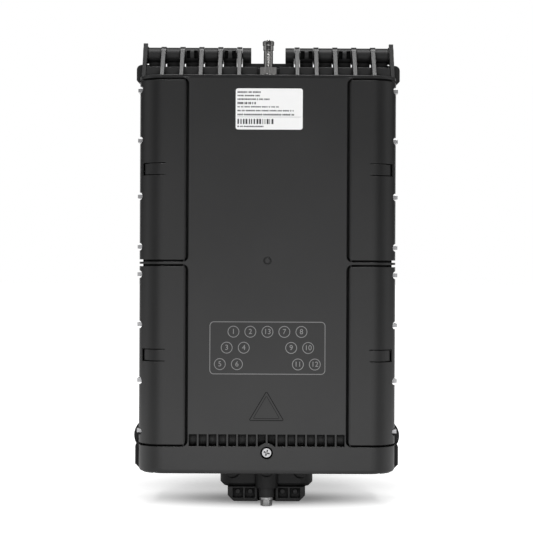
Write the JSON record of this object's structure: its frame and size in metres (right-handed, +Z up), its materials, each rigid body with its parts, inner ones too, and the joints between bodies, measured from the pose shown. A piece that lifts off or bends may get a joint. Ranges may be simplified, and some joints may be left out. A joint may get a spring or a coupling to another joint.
{
  "type": "fibre distribution hub box",
  "caption": "Sealed wall box that joins a feeder cable to drop cables: top-hinged ribbed cover, side latches, air test valve, cable sockets and a cable entry underneath.",
  "frame": {"origin": "middle of the four wall bolt holes, on the plane of the back rails that lies against the wall", "axes": "+X to the right of someone who faces the box, +Z up, +Y into the wall; the cover faces -Y"},
  "size_m": [0.232, 0.1183, 0.4037],
  "materials": {
    "housing_plastic": "fine moulded grain",
    "cover_plastic": "fine moulded grain",
    "latch_plastic": "fine moulded grain",
    "clamp_plastic": "fine moulded grain",
    "socket_plastic": "satin",
    "tray_plastic": "satin",
    "module_plastic": "satin",
    "lid_clear": "clear",
    "label_white": "printed film",
    "seal_rubber": "soft",
    "plug_rubber": "soft",
    "pin_steel": "black oxide",
    "strip_steel": "stamped",
    "screw_steel": "zinc plated",
    "valve_nickel": "nickel plated",
    "insert_brass": "turned"
  },
  "bodies": {
    "housing": {"clamp_screw": "screw_steel", "cover_seal": "seal_rubber", "entry_bolt": "screw_steel", "entry_clamp": "clamp_plastic", "entry_collar": "housing_plastic", "entry_plugs": "plug_rubber", "entry_seal": "seal_rubber", "hinge_rod_left": "pin_steel", "hinge_rod_right": "pin_steel", "lock_insert": "insert_brass", "port_nuts": "socket_plastic", "port_seals": "seal_rubber", "port_socket_01": "socket_plastic", "port_socket_02": "socket_plastic", "port_socket_03": "socket_plastic", "port_socket_04": "socket_plastic", "port_socket_05": "socket_plastic", "port_socket_06": "socket_plastic", "port_socket_07": "socket_plastic", "port_socket_08": "socket_plastic", "port_socket_09": "socket_plastic", "port_socket_10": "socket_plastic", "port_socket_11": "socket_plastic", "port_socket_12": "socket_plastic", "port_socket_13": "socket_plastic", "rear_housing": "housing_plastic", "slack_spool_left": "tray_plastic", "slack_spool_right": "tray_plastic", "splice_tray": "tray_plastic", "splitter_module": "module_plastic", "strength_clamp": "screw_steel", "tray_lid": "lid_clear", "tray_screws": "screw_steel"},
    "cover": {"front_cover": "cover_plastic", "latch_pins": "pin_steel", "lock_screw": "screw_steel", "lock_washer": "screw_steel", "valve_stem": "valve_nickel", "valve_gasket": "seal_rubber", "valve_washer": "valve_nickel", "valve_nut": "valve_nickel", "label_plate": "label_white"},
    "latch_upper_left": {"side_latch_upper_left": "latch_plastic", "latch_strip_upper_left": "strip_steel"},
    "latch_lower_left": {"side_latch_lower_left": "latch_plastic", "latch_strip_lower_left": "strip_steel"},
    "latch_upper_right": {"side_latch_upper_right": "latch_plastic", "latch_strip_upper_right": "strip_steel"},
    "latch_lower_right": {"side_latch_lower_right": "latch_plastic", "latch_strip_lower_right": "strip_steel"},
    "cap": {"valve_cap": "valve_nickel"}
  },
  "joints": [
    {"name": "cover_hinge", "type": "hinge", "parent": "housing", "child": "cover", "pos_m": [0, -0.088, 0.1861], "axis": [-1, 0, 0], "range_deg": [0, 110]},
    {"name": "latch_upper_left_hinge", "type": "hinge", "parent": "cover", "child": "latch_upper_left", "pos_m": [-0.071, -0.1159, 0], "axis": [0, 0, 1], "range_deg": [0, 70]},
    {"name": "latch_lower_left_hinge", "type": "hinge", "parent": "cover", "child": "latch_lower_left", "pos_m": [-0.071, -0.1159, 0], "axis": [0, 0, 1], "range_deg": [0, 70]},
    {"name": "latch_upper_right_hinge", "type": "hinge", "parent": "cover", "child": "latch_upper_right", "pos_m": [0.071, -0.1159, 0], "axis": [0, 0, -1], "range_deg": [0, 70]},
    {"name": "latch_lower_right_hinge", "type": "hinge", "parent": "cover", "child": "latch_lower_right", "pos_m": [0.071, -0.1159, 0], "axis": [0, 0, -1], "range_deg": [0, 70]},
    {"name": "cap_lift", "type": "slide", "parent": "cover", "child": "cap", "axis": [0, 0, 1], "range_m": [0, 0.012]}
  ]
}
